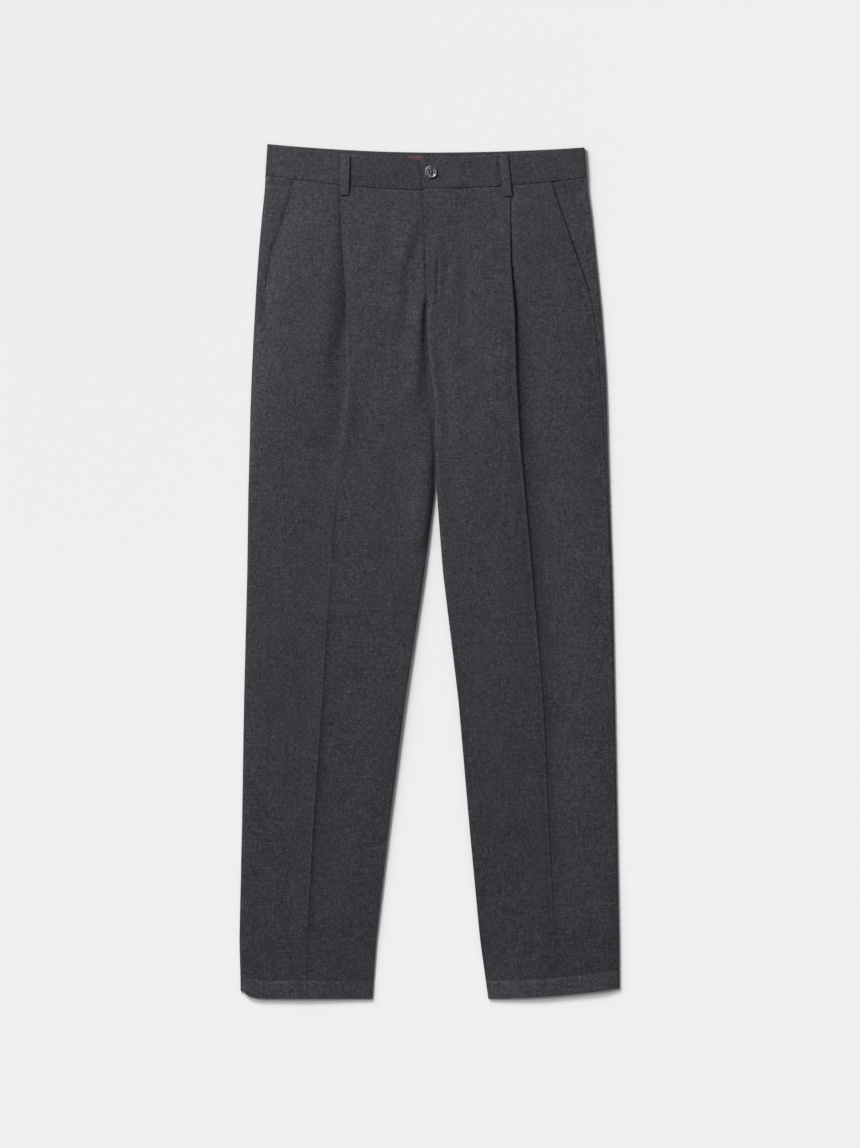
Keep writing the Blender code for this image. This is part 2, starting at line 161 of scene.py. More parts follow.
def read_half(side):
    """The outlines of one half of the garment, and in what it differs from the other."""
    right = side == "right"
    sign = -1 if right else 1
    slack = 0.2 if right else 0.9  # how far inside the solid's side edge the cloth lies
    front, back, band = f"front_{side}", f"back_{side}", f"waistband_{side}"
    facing, loop = f"pocket_facing_{side}", f"belt_loop_front_{side}"
    loop_side = max if right else min

    def across(node, low, high, pick):
        return course(node, 1, low, high, lambda points: pick(sign * points[:, 0]))

    def outwards(node, low, high, measure, step=3.0, reach=5):
        if right:
            line = course(node, 0, -high, -low, measure, step, reach)
            return lambda u: line(-np.asarray(u))
        return course(node, 0, low, high, measure, step, reach)

    hem_u = (sign * cut(front, 1, -530.0)[:, 0]).min() + 1.0
    hem_end = (sign * cut(front, 1, -518.0)[:, 0]).max() - 0.4
    half = SimpleNamespace(
        side=side,
        sign=sign,
        right=right,
        flare=0.2 if right else 0.7,  # how much the front is raised at the hem
        seam_gap=0.0 if right else 0.26,  # how far the side seam stands open
        droop=1.1 if right else 0.0,  # how far the back's strip falls at the side edge
        low_strip=0.0 if right else 0.7,  # how much lower that strip lies along the leg
        rim_painted_light=0.28 if right else 0.06,  # painted light: how much paler the cloth is painted along the leg's side, as if it faced the light
        hem_nap_and_painted_light=0.27 if right else 0.34,  # and at the hem, partly for its flattened nap and partly as painted light
        loop_dip=0.3 if right else 0.9,  # how far the band sinks beside its front loop
        outer=across(back, -515.0, 489.0, lambda u: max(u) - slack),
        inner=swayed(across(front, -533.0, 470.0, min), sign),
        inner_back=across(back, -533.0, 480.0, min),
        mouth=across(front, -515.0, 485.0, max),
        facing_outer=across(facing, 353.0, 490.0, max),
        facing_inner=across(facing, 353.0, 470.0, min),
        facing_foot=cut(facing, 0, sign * 195.0)[:, 1].min(),
        hem=outwards(front, hem_u, hem_end, lambda points: points[:, 1].min(), 1.0, 2),
        lift=course(back, 1, -515.0, 490.0, lambda points: points[:, 2].min(), reach=3),
        band_outer=across(band, 497.0, 528.0, lambda u: max(u) - slack),
        band_end=course(band, 1, BAND_FOOT, 515.0, lambda points: front_end(points, sign)),
        loop_edge=course(loop, 1, 472.0, 519.0, lambda points: loop_side(sign * points[:, 0]), reach=2),
        overlap=course("waistband_left", 1, BAND_FOOT, 515.0, lambda points: front_end(points, 1)),
    )
    reach = float(min(half.band_outer(np.arange(500.0, 528.0)))) - 1.5
    for layer, is_front, low in (("front", True, -4.0), ("back", False, 1.0)):
        for line, pick in (("top", np.max), ("seam", np.min)):
            course_of_line = outwards(
                band, low, reach, lambda points, f=is_front, p=pick: band_line(points, f, p)
            )
            setattr(half, f"band_{layer}_{line}", course_of_line)
    half.front_head = sewn_to(half.band_front_seam, reach)
    half.back_head = sewn_to(half.band_back_seam, reach)
    half.strip = strip_edge(half)
    return half


def swayed(inner, sign):
    """The inner line of a front, moved to the side where the seam below the fly winds its way."""
    return lambda y: inner(y) + sign * np.interp(y, *np.array(SEAM_SWAY).T)


def sewn_to(seam, reach):
    """The upper edge of a piece below a seam of the waistband, which goes on straight past its reach."""
    slope = (float(seam(reach)) - float(seam(reach - 12.0))) / 12.0
    return lambda u: seam(u) + slope * np.maximum(0.0, u - reach) - 2 * SEAM_GAP


def strip_edge(half):
    """The side seam: where the back's strip begins, beside the front or, higher up, the pocket facing."""
    heights = np.arange(-515.0, 494.0, 3.0)
    beside_front = half.mouth(heights)
    beside_facing = half.facing_outer(heights)
    seam = np.where(heights > half.facing_foot + 6.0, beside_facing, beside_front)
    seam = soften(np.maximum(seam, beside_front), 3) + SEAM_GAP
    widest = 1.0 + near(heights - 288.0, 60.0, 4.0)
    ends = smooth((heights - 80.0) / 60.0) * smooth((476.0 - heights) / 30.0)
    seam += half.seam_gap * widest * ends
    return lambda y: np.interp(y, heights, seam)


# ---------------------------------------------------------------- forms


def table(columns, *rows):
    """A short table of values down the garment, as smooth functions of y."""
    names = columns.split()
    values = np.array(rows, float)[::-1]
    heights = values[:, 0]
    every = np.arange(heights[0], heights[-1] + 1.0, 4.0)
    lines = {}
    for i, name in enumerate(names[1:], 1):
        lines[name] = (every, soften(np.interp(every, heights, values[:, i]), 4))
    return lambda y: SimpleNamespace(
        **{name: float(np.interp(y, *line)) for name, line in lines.items()}
    )


# The form of each front from the waist to the hem. All heights are those of the cloth's centre line.
# y, crease: the place along the front, and how far out the pleat or crease lies there
# edge, roll, step: the height at the fly or the inner leg, how far that reaches, and how suddenly it ends
# mid: the height from there to the crease
# crest, width, lip: the height at the crease, how far before it that begins, and a narrow ridge on it
# turn, under: how steeply the cloth drops behind the crease, and how far it tucks under
# low, valley, bowl: the height where it comes out again, how far that reaches, and how suddenly it ends
# puff, sink, side: the height of the outer part, how much lower it is beside the crease, and its height
# at the pocket or the side seam
FORM = "y crease edge roll step mid crest width lip turn under low valley bowl puff sink side"
LEFT_FRONT = table(
    FORM,
    (478, 101.2, 7.9, 54, 4, 5.6, 5.8, 8, 0, 180, 25, 5, 3, 1.2, 5.7, 0, 5.4),
    (464, 101.2, 7.8, 54, 4, 5.6, 6, 8, 0.1, 180, 23, 3.8, 3, 1.2, 5.7, 0, 5.2),
    (440, 101.2, 7.3, 44, 3, 5.9, 6.2, 8, 0.2, 180, 19, 3.5, 3.2, 1.2, 6, 0, 4.8),
    (400, 101.4, 6.5, 26, 2.5, 6.5, 6.6, 8, 0.2, 180, 13, 2.8, 4, 1.2, 6, 0.2, 4.4),
    (376, 101.9, 6.3, 14, 2, 6.9, 7, 9, 0.3, 180, 9, 2.2, 5, 1.2, 5.8, 0.4, 4.3),
    (350, 104, 4.6, 6, 2.2, 7.6, 7.5, 9, 0.3, 180, 5, 1.9, 9, 1.5, 5.3, 1.6, 4),
    (325, 105.8, 2, 2.8, 2.6, 8.5, 8.2, 9, 0.35, 140, 2, 1.9, 10.5, 1.6, 5, 3.1, 3.8),
    (300, 107.1, 2, 2.6, 2.6, 9.5, 8.8, 8.5, 0.4, 76, 0, 4.4, 8.8, 1.1, 4.9, 4.2, 3.7),
    (250, 108.5, 2, 2.8, 2.4, 10.6, 9.4, 8.5, 0.4, 72, 0, 6.1, 9, 1, 4.9, 4.4, 3.6),
    (200, 110.7, 2, 3, 2.4, 10.7, 9.4, 8.5, 0.4, 72, 0, 6.1, 9.2, 1, 4.9, 4.4, 3.6),
    (150, 114.3, 2, 3.6, 2.4, 10.5, 9.2, 8.5, 0.4, 70, 0, 6.1, 9.8, 1, 4.8, 4.3, 3.5),
    (100, 119.1, 2.6, 3.6, 2.2, 10, 8.8, 8, 0.4, 66, 0, 6.1, 10.6, 1.05, 4.8, 4.3, 3.6),
    (0, 128.4, 4.6, 2, 2, 9, 8, 7, 0.35, 58, 0, 5.9, 11.2, 1.1, 4.7, 4.1, 3.6),
    (-160, 142.3, 5.1, 1.6, 2, 7.4, 6.6, 5.6, 0.35, 54, 0, 5.2, 9.6, 1.1, 4.6, 3.1, 3.4),
    (-320, 149.5, 4.4, 1.6, 2, 6.1, 5.5, 5, 0.3, 48, 0, 4.5, 7, 1.2, 4.6, 1.6, 3.1),
    (-460, 156.6, 2.9, 1.6, 2, 4.8, 4.4, 5, 0.2, 45, 0, 4.2, 4.8, 1.4, 4.4, 0.6, 2.9),
    (-534, 158.4, 2.2, 1.6, 2, 3.8, 3.7, 5, 0.1, 35, 0, 3.6, 4, 1.2, 3.7, 0.2, 2.7),
)
RIGHT_FRONT = table(
    FORM,
    (478, 112.2, 4.6, 10, 3, 5.6, 5, 6, 0, 180, 25, 3.6, 3, 1, 5.8, 0, 4.8),
    (464, 111.8, 4.4, 9.8, 4, 5.7, 5, 6, 0, 180, 23, 2.9, 3.5, 1, 6.2, 0, 4.7),
    (440, 110.7, 4, 9.8, 6, 5.9, 4.9, 6, 0, 180, 19, 2.4, 4.8, 1, 7, 0, 4.5),
    (400, 108.6, 2.6, 9.9, 9, 6, 4.8, 7, 0, 180, 13, 1.9, 8.4, 1.1, 9.3, 0, 4.2),
    (376, 106.8, 2.1, 9.8, 9, 6, 4.7, 7, 0, 180, 9, 1.9, 9.2, 1.3, 10.4, 0, 4),
    (350, 104.7, 1.9, 8.4, 8, 6, 4.6, 8, 0, 180, 5, 1.9, 10.6, 1.5, 11.2, 0, 3.8),
    (325, 103.8, 1.9, 3.6, 3, 6.2, 4.4, 9, 0, 150, 1, 2.1, 11.6, 1.8, 10.9, 0, 3.7),
    (300, 103.8, 1.9, 5, 2.8, 5.6, 4.4, 11, 0, 50, 0, 2.8, 13.6, 2, 10.4, 0, 3.6),
    (250, 101.4, 1.9, 8, 2.8, 4.2, 6.5, 17, 0, 28, 0, 4.8, 17, 2.2, 9.4, 0, 3.6),
    (218, 102.8, 2, 12.5, 3.4, 4.2, 6.5, 17, 0, 24, 0, 5.2, 16, 2.1, 8.2, 0, 3.5),
    (186, 106.4, 2.4, 4, 2.2, 4.2, 6.3, 16, 0, 18, 0, 5.5, 14.5, 2, 6.9, 0, 3.5),
    (150, 113.4, 2.6, 2.2, 2.2, 4.4, 5.8, 12, 0, 14, 0, 5.4, 13, 2, 5.9, 0, 3.5),
    (100, 119.3, 3.2, 2, 2, 4.6, 5.7, 4.2, 0, 12, 0, 5.5, 12, 2, 5.4, 0, 3.5),
    (0, 125.6, 4.2, 2, 2, 4.2, 5.9, 3.6, 0, 16, 0, 5.8, 12, 2, 5.3, 0, 3.5),
    (-160, 136, 4.9, 1.6, 2, 3.6, 6.6, 3.7, 0, 20, 0, 6.1, 12, 2, 5.2, 0, 3.4),
    (-320, 147.1, 4.1, 1.6, 2, 3.3, 6.8, 3.6, 0, 20, 0, 6.1, 12, 2, 5.1, 0, 3.4),
    (-460, 155.3, 3, 1.6, 2, 3.5, 5.4, 3.2, 0, 16, 0, 4.9, 12, 2, 4.4, 0, 3.2),
    (-534, 156.2, 2.1, 1.6, 2, 3.1, 3.9, 3, 0, 14, 0, 3.6, 12, 2, 3.5, 0, 2.7),
)
FLY_HEIGHT = 5.2  # of a front between its edge and mid, in the upper leg and above
HEM_HEIGHT = 2.3  # the same at the hem
SINK_WIDTH = 36.0
CREASE_BEND = 1.1  # from the end of the upper layer to the outermost place of its bend
FOLD_BEND = 0.65  # radius of the centre line where cloth turns down or back
TUCKED = 0.5  # a fold that goes under further than this lies flat on itself
EDGE_LEFT = 0.25  # share of the cloth's thickness that is left at its rounded edge

# Soft troughs (depth below zero) and ridges placed one by one: the points they run through, their depth,
# and their widths on the -X and the +X side of that line.
FOLDS = (
    # the wearer's right front, beside the fly and below the pleat
    ([(-8, 444), (-13, 418), (-18, 400), (-26, 376), (-28, 345), (-30, 300)], -1.5, 7, 14),
    ([(-20, 444), (-25, 418), (-31, 400), (-38, 376), (-40, 345), (-43, 300)], 1.9, 17, 9),
    ([(-12, 345), (-13, 310), (-14, 275), (-16, 240), (-20, 205)], 2.9, 15, 6),
    ([(-4, 150), (-4, 95), (-9, 55), (-14, 22)], 4.2, 16, 8),
    ([(-6.9, 476), (-6.5, 430), (-5, 400), (-4.6, 372), (-5.4, 345)], -1, 2.2, 2),
    ([(-112, 300), (-117, 265), (-122, 239), (-124, 205)], -1.8, 9, 20),
    ([(-150, 310), (-150, 240), (-154, 150)], 2.4, 40, 32),
    ([(-22, 190), (-16, 160), (-12, 120)], 0.9, 7, 8),
    ([(-90, 250), (-89, 205), (-94, 170)], -0.8, 6, 12),
    ([(-112, 225), (-113, 200), (-119, 170), (-124, 145)], -1, 6, 8),
    ([(-66, 470), (-70, 430), (-74, 385)], 0.7, 14, 14),
    ([(-152, 470), (-160, 420), (-170, 360), (-176, 290)], 0.3, 22, 18),
    ([(-60, 160), (-72, 60), (-92, -60)], 0.8, 24, 20),
    ([(-176, 120), (-186, -20), (-192, -160)], 0.6, 20, 24),
    ([(-120, -260), (-122, -340), (-118, -430)], -0.6, 12, 14),
    ([(-206, -250), (-204, -340), (-208, -430)], -0.5, 10, 12),
    # the wearer's left front
    ([(10.6, 396), (10.4, 384), (9.6, 352), (8.4, 333)], -1.7, 1.3, 1.3),
    ([(-5, 332), (2, 332.5), (9, 335), (16, 339)], -1.2, 1.3, 1.3),
    ([(13, 300), (15, 245), (20, 214), (24, 176), (26, 150)], -1.5, 7, 9),
    ([(24, 398), (22.5, 380), (21, 362), (20, 346)], -1.5, 3, 3.6),
    ([(43, 396), (43, 360), (44, 310), (47, 250)], -1.9, 7, 8),
    ([(10, 200), (9, 170), (8, 140)], -0.8, 4, 4),
    ([(70, 330), (68, 270), (70, 210)], -0.5, 10, 10),
    ([(30, 210), (36, 150), (46, 60)], 0.8, 12, 14),
    ([(60, 90), (74, -20), (88, -140)], -0.5, 12, 16),
    ([(178, 300), (186, 200), (190, 80)], 0.8, 20, 18),
    ([(190, 20), (198, -120), (204, -260)], 0.6, 18, 20),
    ([(112, -240), (118, -330), (124, -430)], -0.6, 14, 12),
    ([(206, -320), (208, -400), (206, -470)], -0.5, 12, 10),
)

# The same kind of folds on the back, which lies on the surface. Here a fold lifts the cloth a little.
BACK_FOLDS = (
    ([(-112, 440), (-116, 300), (-122, 120), (-134, -120), (-146, -330), (-154, -520)], 0.45, 3, 5),
    ([(112, 440), (116, 300), (122, 120), (134, -120), (146, -330), (154, -520)], 0.45, 5, 3),
    ([(-24, 300), (-48, 262), (-84, 240)], 0.6, 8, 8),
    ([(20, 282), (52, 250), (92, 236)], 0.6, 8, 8),
    ([(-16, 236), (-34, 200), (-60, 178)], 0.5, 7, 7),
    ([(22, 220), (44, 186), (70, 168)], 0.5, 7, 7),
    ([(-190, 60), (-176, 20), (-160, -6)], 0.4, 9, 9),
    ([(88, -60), (112, -84), (140, -90)], 0.5, 9, 9),
)

UNEVEN = np.random.default_rng(11)
WAVES = [
    (2 * math.pi / UNEVEN.uniform(60, 190), UNEVEN.uniform(0, math.pi), UNEVEN.uniform(0, 6.3))
    for _ in range(14)
]

# Distances from an edge at which a row or a line of points lies, closer together where the cloth bends.
EDGE_STEPS = np.array((0.0, 0.1, 0.3, 0.6, 1.2, 2.0, 3.0, 4.2, 5.6, 7.2, 9.2, 11.8))
FOLD_STEPS = np.array((0.0, 0.7, 1.4, 2.2, 3.1, 4.1, 5.3, 6.6, 8.1, 9.9, 12.0, 14.5))
HEM_STEPS = np.array(
    (0.0, 0.12, 0.35, 0.8, 2.0, 4.5, 7.5, 10.5, 13.5, 16.0, 18.0, 19.4, 20.4)
    + (21.2, 21.9, 22.5, 23.1, 23.8, 24.8, 26.4, 28.8, 32.0)
)
HEAD_STEPS = np.array((0.0, 0.1, 0.3, 0.6, 1.2, 2.0, 3.2, 5.0, 8.0))
SMALL_STEPS = HEAD_STEPS[:5] / 130  # as shares of the height of a pocket facing or the fly shield
FLY_STEPS = np.append(EDGE_STEPS, (13.6, 15.0, 16.0, 16.8, 17.6, 18.4, 19.4, 21.0))
BAND_STEPS = np.array((0.0, 0.15, 0.4, 0.8, 1.3, 2.0, 3.0, 4.5, 6.5, 9.0))
LOOP_STEPS = np.array((0.0, 0.15, 0.4, 0.8, 1.4, 2.2, 3.4))
LOOP_SIDE_STEPS = np.array((0.0, 0.1, 0.3, 0.6, 1.0, 1.5))
HEM_LINE = 22.5  # height of the hem's inner edge above the hem
FLY_END = 333.0  # height of the lower end of the fly
BEND_STEPS = 5


def spread(length, first, last, middle):
    """Places from 0 to length: first from the start, even ones in the middle, last back from the end."""
    between = np.linspace(first[-1], length - last[-1], middle + 2)[1:-1]
    return np.concatenate((first, between, length - last[::-1]))


def near(distance, width, power=2.0):
    """1 where the distance is 0, falling to 0 over the width: a bell, or a box where the power is high."""
    return np.exp(-((np.abs(distance) / width) ** power))


def smooth(share):
    """From 0 to 1 while the share does so, with level ends."""
    t = np.clip(share, 0.0, 1.0)
    return t * t * (3.0 - 2.0 * t)


def fold_heights(x, y, folds):
    """The sum of soft folds at the points (x, y)."""
    total = np.zeros_like(x)
    for line, depth, left, right in folds:
        line = np.array(line, float)
        level = np.ptp(line[:, 1]) < np.ptp(line[:, 0])
        way, side, places = (x, y, line) if level else (y, x, line[:, ::-1])
        places, offsets = places[np.argsort(places[:, 0])].T
        across = side - np.interp(way, places, offsets)
        along = (way - places[0]) / (places[-1] - places[0])
        width = np.where(across < 0, left, right)
        ends = near(np.maximum(0, np.abs(along - 0.5) - 0.3), 0.16)
        total += depth * ends * near(across, width)
    return total


def unevenness(x, y):
    """Gentle waves that cross each other without order."""
    total = np.zeros_like(x)
    for pace, way, start in WAVES:
        total += np.sin(pace * (x * math.cos(way) + 0.6 * y * math.sin(way)) + start)
    return total / math.sqrt(len(WAVES))


def arc(start, heading, angle, radius):
    """The points (u, z) after start on an arc. Angles are anticlockwise, in radians."""
    turned = heading + angle * np.arange(1, BEND_STEPS + 1) / BEND_STEPS
    way = math.copysign(radius, angle)
    du = way * (np.sin(turned) - math.sin(heading))
    dz = -way * (np.cos(turned) - math.cos(heading))
    return [(start[0] + u, start[1] + z) for u, z in zip(du, dz)]


def square_turn(start, height, bend):
    """The points after start where cloth turns round an edge and comes back a height below."""
    points = arc(start, 0.0, -math.pi / 2, bend)
    u, z = points[-1]
    return points + arc((u, z - height + 2 * bend), -math.pi / 2, -math.pi / 2, bend)


def pleat(start, form, drop):
    """The fold from the end of its upper layer at start to the start of the layer outside it."""
    size = abs(drop)
    if form.under > TUCKED:
        radius = size / 4
        turn = math.pi
        under = form.under
    else:
        radius = FOLD_BEND
        turn = min(math.radians(form.turn), math.acos(max(-0.9, 1 - 0.6 * size)))
        turn = max(turn, 0.02)
        under = max(0.0, size - 2 * radius * (1 - math.cos(turn))) / math.sin(turn)
    down = -math.copysign(turn, drop)
    points = arc(start, 0.0, down, radius)
    u, z = points[-1]
    for share in (0.5, 1.0):
        points.append((u + share * under * math.cos(turn), z + share * under * math.sin(down)))
    return points + arc(points[-1], down, -down, radius)


def row(u, foot, head, share, z):
    """Centre points (u, y, z) across the cloth, share of the way up from its foot to its head."""
    return np.column_stack(np.broadcast_arrays(u, foot + share * (head - foot), z))


def settle(line, foot, head, share):
    """The place u of a side line and its height y, in the row that lies share of the way up."""
    y = HEM_Y + PANEL * share
    for _ in range(4):
        u = float(line(y))
        y = float(foot(u) + share * (head(u) - foot(u)))
    return u, y


def front_section(form, y, inner, crease, mouth):
    """The centre line (u, z) of one front panel in the row at y, from its inner edge outwards."""
    length = crease - inner
    way = spread(length, FLY_STEPS, FOLD_STEPS, 22)
    short = length - way
    base = HEM_HEIGHT + (FLY_HEIGHT - HEM_HEIGHT) * smooth((y - HEM_Y) / 320.0)
    z = base + (form.mid - base) * smooth(1.2 * way / length)
    z += (form.edge - z) * near(way, form.roll, form.step)
    power = 3.0 if form.crest < form.mid else max(1.0, form.width / 8 + 0.5)
    z += (form.crest - z[-1]) * near(short, form.width, power)
    z += form.lip * near(short, 2.0)
    points = list(zip(inner + way, z))
    points += pleat(points[-1], form, form.crest + form.lip - form.low)

    start, low = points[-1]
    hidden, shares = 0.08, (0.25, 0.5, 0.75)
    if form.under > TUCKED:
        hidden, shares = form.under, (0.3, 0.6, 0.85)
    points += [(start + share * hidden, low) for share in shares]
    shown = start + hidden
    way = spread(mouth - shown, FOLD_STEPS, EDGE_STEPS, 20)
    body = form.side + (form.puff - form.side) * (1 - near(mouth - shown - way, 12.0, 1.4))
    body -= form.sink * near(way, SINK_WIDTH)
    z = body + (low - form.puff + form.sink) * near(way, form.valley, form.bowl)
    return np.array(points + list(zip(shown + way, z)))


def front_lines(half, forms):
    """The centre lines of a front panel from the hem to the waist, and how much paler they look."""
    foot, head = half.hem, half.front_head
    beside_fly_end = FLY_END - HEM_Y + np.arange(-6.0, 7.0) + 0.3
    rows = spread(PANEL, HEM_STEPS, HEAD_STEPS, 236)
    lines = []
    for share in np.sort(np.append(rows, beside_fly_end)) / PANEL:
        inner, _ = settle(half.inner, foot, head, share)
        mouth, _ = settle(half.mouth, foot, head, share)
        crease, y = settle(lambda at: forms(at).crease - CREASE_BEND, foot, head, share)
        u, z = front_section(forms(y), y, inner, crease, mouth).T
        lines.append(row(u, foot(u), head(u), share, z))
    lines = np.array(lines)
    u, y, z = lines[:, :, 0], lines[:, :, 1], lines[:, :, 2]
    x = half.sign * u
    over_hem = y - foot(u)
    below_head = head(u) - y
    free = (1 - near(u - u[:, :1], 4.0)) * (1 - near(u[:, -1:] - u, 10.0))
    free *= 1 - near(np.maximum(0.0, below_head), 10.0)
    z += free * (fold_heights(x, y, FOLDS) + 0.36 * unevenness(x, y))
    z += free * half.flare * near(over_hem, 19.0, 1.7)
    z += 0.3 * near(np.maximum(0.0, over_hem - 17.0), 4.5)
    z -= 0.35 * near(over_hem - HEM_LINE, 1.6)
    z -= 0.6 * near(below_head, 1.1)
    lines[:, :, 2] = np.maximum(z, 1.85)
    return lines, pale_nap_and_painted_light(half, u, y)


def pale_nap_and_painted_light(half, u, y):
    """How much paler the front is painted: at the hem partly for its flattened nap and partly as painted
    light, and along the outside as painted light.
    """
    over_hem = y - half.hem(u)
    at_hem = 1 - smooth((over_hem - HEM_LINE + 3.0) / 6.0)
    # Painted light: the rim is made paler as if the side of the leg faced the light.
    if half.right:
        paler = half.hem_nap_and_painted_light * at_hem
        paler += half.rim_painted_light * near(half.mouth(y) - u, 1.6) * smooth((330.0 - y) / 60.0)
    else:
        # Painted light: inside and outside make the inner part near the hem and the outer part of the leg
        # paler, where the lamps leave them darker.
        inside = 1 - smooth((u - 122.0) / 26.0)
        outside = smooth((u - 120.0) / 60.0) * smooth((200.0 - y) / 160.0)
        paler = (half.hem_nap_and_painted_light + 0.24 * inside) * at_hem
        paler += 0.20 * inside * near(over_hem, 60.0) * (1 - at_hem)
        paler += 0.11 * outside * smooth((over_hem - 20.0) / 140.0)
    return paler


def hip_painted_highlight(y):
    """How much paler the cloth is painted at the side of the hip: a painted highlight where it faces the
    light.
    """
    return 0.15 * smooth((y - 400.0) / 50.0)


def back_lines(half):
    """The centre lines of a back panel, from the side seam on the front round the edge and underneath,
    and how much paler they look."""
    foot, head = half.hem, half.back_head
    bend = 0.6
    lines = []
    for share in spread(PANEL, HEM_STEPS, HEAD_STEPS, 190) / PANEL:
        outer, y = settle(half.outer, foot, head, share)
        inner, _ = settle(half.inner_back, foot, head, share)
        seam, _ = settle(half.strip, foot, head, share)
        lift = float(half.lift(y)) + 0.5
        height = 3.0 - half.low_strip * float(smooth((160.0 - y) / 120.0))
        width = outer - bend - CLOTH / 2 - seam
        strip = np.linspace(0.0, width, 13)
        if width > 3:
            strip = spread(width, EDGE_STEPS[:5], EDGE_STEPS[:4], 4)
        drooped = half.droop * near(width - strip, 2.2)
        points = list(zip(seam + strip, lift + height - drooped))
        points += square_turn(points[-1], height - drooped[-1], bend)
        u, z = points[-1]
        points += [(u - step, z) for step in spread(u - inner, FOLD_STEPS, EDGE_STEPS[:6], 44)[1:]]
        u, z = np.array(points).T
        lines.append(row(u, foot(u), head(u), share, z))
    lines = np.array(lines)
    u, y = lines[:, :, 0], lines[:, :, 1]
    x = half.sign * u
    on_top = len(strip) + 2 * BEND_STEPS
    # Painted light: the back's strip is painted paler along the leg's side and at the hip.
    paler = half.rim_painted_light * (1 - smooth((y - 290.0) / 40.0)) + hip_painted_highlight(y)
    paler[:, on_top:] = 0.0
    free = (1 - near(u - u[:, -1:], 8.0)) * (1 - near(u[:, :1] + 8.0 - u, 8.0))
    free[:, :on_top] = 0.0
    bumps = fold_heights(x, y, BACK_FOLDS) + 0.12 * (1 + unevenness(x, y))
    lines[:, :, 2] += free * np.clip(bumps, 0.0, 0.8)
    return lines, paler


# ---------------------------------------------------------------- meshes


def rounded(steps, thickness, least=EDGE_LEFT):
    """The share of the full thickness at distances from a rounded edge."""
    radius = thickness / 2
    inside = np.clip(1 - np.asarray(steps) / radius, 0.0, 1.0)
    return np.maximum(least, np.sqrt(1 - inside**2))


def out_of_cloth(lines):
    """For each centre point, the way out of the cloth in u and z, scaled to keep its walls apart."""
    flat = lines[:, :, [0, 2]]
    along = np.diff(flat, axis=1)
    across = np.stack((-along[..., 1], along[..., 0]), axis=2)
    across /= np.maximum(np.linalg.norm(across, axis=2), 1e-6)[..., None]
    before = np.concatenate((across[:, :1], across), axis=1)
    after = np.concatenate((across, across[:, -1:]), axis=1)
    middle = before + after
    middle /= np.maximum(np.linalg.norm(middle, axis=2), 1e-6)[..., None]
    reach = np.maximum(np.sum(middle * after, axis=2), 0.7)
    return middle / reach[..., None]


def shell(name, lines, sign, material, thickness=CLOTH, sides=(EDGE_LEFT, EDGE_LEFT), paler=None):
    """A closed thin wall round rows of centre points (u, y, z), with rounded edges.

    sides gives the shares of the thickness that are left at the first and the last points of the rows.
    paler says how much paler than its material the cloth is painted at each centre point: painted light,
    and at the hem partly its flattened nap.
    """
    lines = np.asarray(lines)
    rows, count = lines.shape[:2]
    along = np.linalg.norm(np.diff(lines, axis=1), axis=2)
    run = np.concatenate((np.zeros((rows, 1)), np.cumsum(along, axis=1)), axis=1)
    thick = thickness * rounded(run, thickness, sides[0])
    thick *= rounded(run[:, -1:] - run, thickness, sides[1])
    thick *= rounded(lines[:, :, 1] - lines[:1, :, 1], thickness)
    thick *= rounded(lines[-1:, :, 1] - lines[:, :, 1], thickness)
    shift = np.zeros_like(lines)
    shift[..., [0, 2]] = out_of_cloth(lines) * thick[..., None] / 2
    ring = np.concatenate((lines + shift, (lines - shift)[:, ::-1]), axis=1)
    index = np.arange(rows * 2 * count).reshape(rows, 2 * count)
    after = np.roll(index, -1, axis=1)
    walls = np.stack((index[:-1], after[:-1], after[1:], index[1:]), axis=2).reshape(-1, 4)
    caps = []
    for edge in (0, rows - 1):
        top, bottom = index[edge, :count], index[edge, ::-1][:count]
        caps.append(np.stack((top[:-1], top[1:], bottom[1:], bottom[:-1]), axis=1))
    points = ring.reshape(-1, 3) * (sign, 1.0, 1.0)
    piece = add_mesh(name, points, np.concatenate([walls, *caps]).tolist(), material)
    if paler is not None:
        paler = np.asarray(paler)
        tones = piece.data.attributes.new("paler", "FLOAT", "POINT")
        tones.data.foreach_set("value", np.concatenate((paler, paler[:, ::-1]), axis=1).ravel())
    return piece


def add_object(name, data):
    thing = bpy.data.objects.new(name, data)
    bpy.context.scene.collection.objects.link(thing)
    return thing


def add_mesh(name, points, faces, material, sharp=60.0):
    """An object of closed faces that point outwards. Points are in millimetres."""
    mesh = bpy.data.meshes.new(name)
    mesh.from_pydata((np.asarray(points) * MM).tolist(), [], faces)
    editable = bmesh.new()
    editable.from_mesh(mesh)
    bmesh.ops.recalc_face_normals(editable, faces=editable.faces)
    editable.to_mesh(mesh)
    editable.free()
    mesh.shade_smooth()
    mesh.set_sharp_from_angle(angle=math.radians(sharp))
    mesh.materials.append(material)
    return add_object(name, mesh)


def tube_faces(base, rings, sides):
    """The faces of a closed tube through rings of points, the first of which is at index base."""
    faces = []
    last = base + (rings - 1) * sides
    for start in range(base, last, sides):
        for i in range(sides):
            j = (i + 1) % sides
            faces.append((start + i, start + j, start + sides + j, start + sides + i))
    return faces + [tuple(range(base, base + sides)), tuple(range(last, last + sides))]


def keep(piece, slot, *nodes):
    """Lets a piece ride on the frame and stands for CAD nodes. slot is not used."""
    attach(piece, "root")
    if nodes:
        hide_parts(*nodes)
    return piece


# ---------------------------------------------------------------- materials

CHARCOAL = (0.0264, 0.0259, 0.0306)  # the flannel's middle tone


